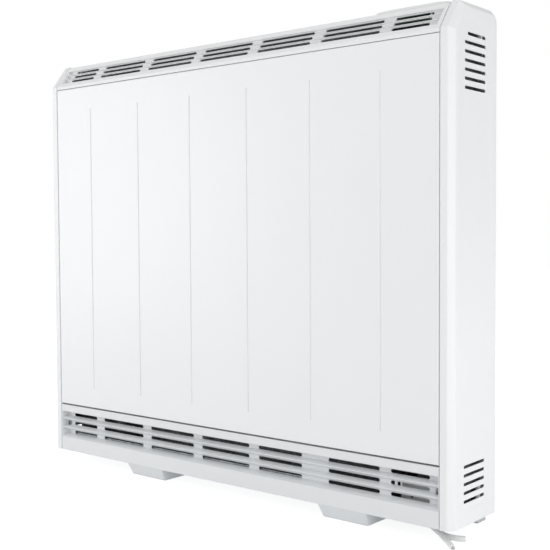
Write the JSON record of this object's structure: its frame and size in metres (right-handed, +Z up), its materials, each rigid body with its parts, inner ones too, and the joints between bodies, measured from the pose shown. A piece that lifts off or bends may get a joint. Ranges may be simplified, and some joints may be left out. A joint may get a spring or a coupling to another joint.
{
  "type": "storage heater",
  "caption": "Slim floor-standing storage heater with a flat swaged front, louvred top and bottom air grilles, vented side panels, pressed feet and a brick core.",
  "frame": {"origin": "centre of the footprint on the floor, midway between the front face and the rear spacers' backs", "axes": "+X to the heater's right as seen from the front, +Y to the wall behind it, +Z up"},
  "size_m": [0.8517, 0.1568, 0.7375],
  "materials": {
    "panel_enamel": "satin",
    "side_enamel": "satin",
    "fascia_enamel": "satin",
    "foot_enamel": "satin",
    "grille_moulding": "matt",
    "bezel_plastic": "satin",
    "button_plastic": "satin",
    "display_pane": "gloss",
    "circuit_board": "satin",
    "dark_plastic": "matt",
    "reset_plastic": "satin",
    "terminal_plastic": "matt",
    "zinc_sheet": "dull",
    "screen_steel": "matt",
    "bright_steel": "bright",
    "element_sheath": "dull",
    "screw_zinc": "bright",
    "insulation_board": "matt",
    "storage_brick": "matt",
    "spacer_rubber": "matt",
    "wire_sleeve": "matt",
    "cable_sheath": "satin"
  },
  "bodies": {
    "heater": {"front_panel": "panel_enamel", "left_side_panel": "side_enamel", "right_side_panel": "side_enamel", "top_grille": "grille_moulding", "top_cover": "side_enamel", "bottom_grille": "fascia_enamel", "lower_fascia": "fascia_enamel", "back_panel": "zinc_sheet", "base_plate": "zinc_sheet", "left_upright": "zinc_sheet", "right_upright": "zinc_sheet", "core_shelf": "zinc_sheet", "left_foot": "foot_enamel", "right_foot": "foot_enamel", "left_rear_spacer": "spacer_rubber", "right_rear_spacer": "spacer_rubber", "control_bezel": "bezel_plastic", "display_window": "display_pane", "control_board": "circuit_board", "air_duct": "zinc_sheet", "damper_actuator": "dark_plastic", "front_insulation": "insulation_board", "back_insulation": "insulation_board", "top_insulation": "insulation_board", "bottom_insulation": "insulation_board", "left_insulation": "insulation_board", "right_insulation": "insulation_board", "lower_element": "element_sheath", "middle_element": "element_sheath", "upper_element": "element_sheath", "boost_element": "element_sheath", "thermal_cutout": "dark_plastic", "charge_sensor": "element_sheath", "room_sensor": "dark_plastic", "terminal_block": "terminal_plastic", "terminal_cover": "screen_steel", "power_board": "circuit_board", "wiring_loom": "wire_sleeve", "cable_clamps": "dark_plastic", "heater_tail": "cable_sheath", "boost_tail": "cable_sheath", "casing_screws": "screw_zinc", "foot_screws": "screw_zinc", "brick_1_left": "storage_brick", "brick_1_right": "storage_brick", "brick_2_left": "storage_brick", "brick_2_right": "storage_brick", "brick_3_left": "storage_brick", "brick_3_right": "storage_brick", "brick_4_left": "storage_brick", "brick_4_right": "storage_brick"},
    "damper": {"damper_flap": "zinc_sheet", "damper_shaft": "bright_steel"},
    "menu_button": {"menu_button": "button_plastic"},
    "down_button": {"down_button": "button_plastic"},
    "up_button": {"up_button": "button_plastic"},
    "select_button": {"select_button": "button_plastic"},
    "boost_button": {"boost_button": "button_plastic"},
    "reset_button": {"reset_button": "reset_plastic"}
  },
  "joints": [
    {"name": "damper_swing", "type": "hinge", "parent": "heater", "child": "damper", "pos_m": [-0.04, -0.039, 0.6545], "axis": [-1, 0, 0], "range_deg": [0, 65]},
    {"name": "menu_button_press", "type": "slide", "parent": "heater", "child": "menu_button", "axis": [0, 0, -1], "range_m": [0, 0.001], "stiffness_N_per_m": 400, "springref_m": -0.0006},
    {"name": "down_button_press", "type": "slide", "parent": "heater", "child": "down_button", "axis": [0, 0, -1], "range_m": [0, 0.001], "stiffness_N_per_m": 400, "springref_m": -0.0006},
    {"name": "up_button_press", "type": "slide", "parent": "heater", "child": "up_button", "axis": [0, 0, -1], "range_m": [0, 0.001], "stiffness_N_per_m": 400, "springref_m": -0.0006},
    {"name": "select_button_press", "type": "slide", "parent": "heater", "child": "select_button", "axis": [0, 0, -1], "range_m": [0, 0.001], "stiffness_N_per_m": 400, "springref_m": -0.0006},
    {"name": "boost_button_press", "type": "slide", "parent": "heater", "child": "boost_button", "axis": [0, 0, -1], "range_m": [0, 0.001], "stiffness_N_per_m": 400, "springref_m": -0.0006},
    {"name": "reset_press", "type": "slide", "parent": "heater", "child": "reset_button", "axis": [0, 0, 1], "range_m": [0, 0.002]}
  ]
}
